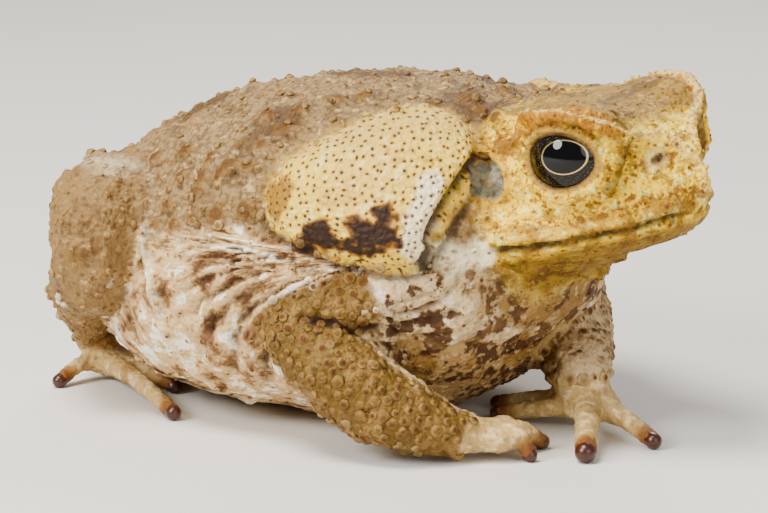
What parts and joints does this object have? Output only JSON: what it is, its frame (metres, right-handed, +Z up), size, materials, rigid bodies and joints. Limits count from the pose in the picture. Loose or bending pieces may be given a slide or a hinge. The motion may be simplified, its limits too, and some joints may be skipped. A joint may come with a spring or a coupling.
{
  "type": "cane toad",
  "caption": "Life-size cane toad resting low with raised head, warty skin, large shoulder glands, folded hind legs and spread front feet.",
  "frame": {"origin": "on the floor under the middle of the animal's bounding box", "axes": "+X towards the snout, +Y to the toad's left, +Z up"},
  "size_m": [0.1152, 0.0904, 0.0586],
  "materials": {
    "head_skin": "dry warty skin, ochre yellow with brown",
    "throat_skin": "dry skin, yellow brown with dark streaks",
    "eye": "wet glossy dark eyeball",
    "ear_skin": "thin smooth grey skin of the ear drum",
    "gland_skin": "pitted dry skin, cream with dark pores",
    "back_skin": "dry warty skin, grey olive and cream with brown warts",
    "limb_skin": "dry warty skin, olive tan with brown wart tips",
    "digit_skin": "dry skin, pinkish grey with brown tips"
  },
  "bodies": {
    "root": {"head": "head_skin", "lower_jaw": "throat_skin", "torso": "back_skin", "eye_left": "eye", "eye_right": "eye", "tympanum_left": "ear_skin", "tympanum_right": "ear_skin", "parotoid_left": "gland_skin", "parotoid_right": "gland_skin", "upper_arm_left": "limb_skin", "upper_arm_right": "limb_skin", "forearm_left": "limb_skin", "forearm_right": "limb_skin", "hand_left": "digit_skin", "hand_right": "digit_skin", "thigh_left": "limb_skin", "thigh_right": "limb_skin", "shank_left": "limb_skin", "shank_right": "limb_skin", "foot_left": "digit_skin", "foot_right": "digit_skin"}
  },
  "joints": []
}
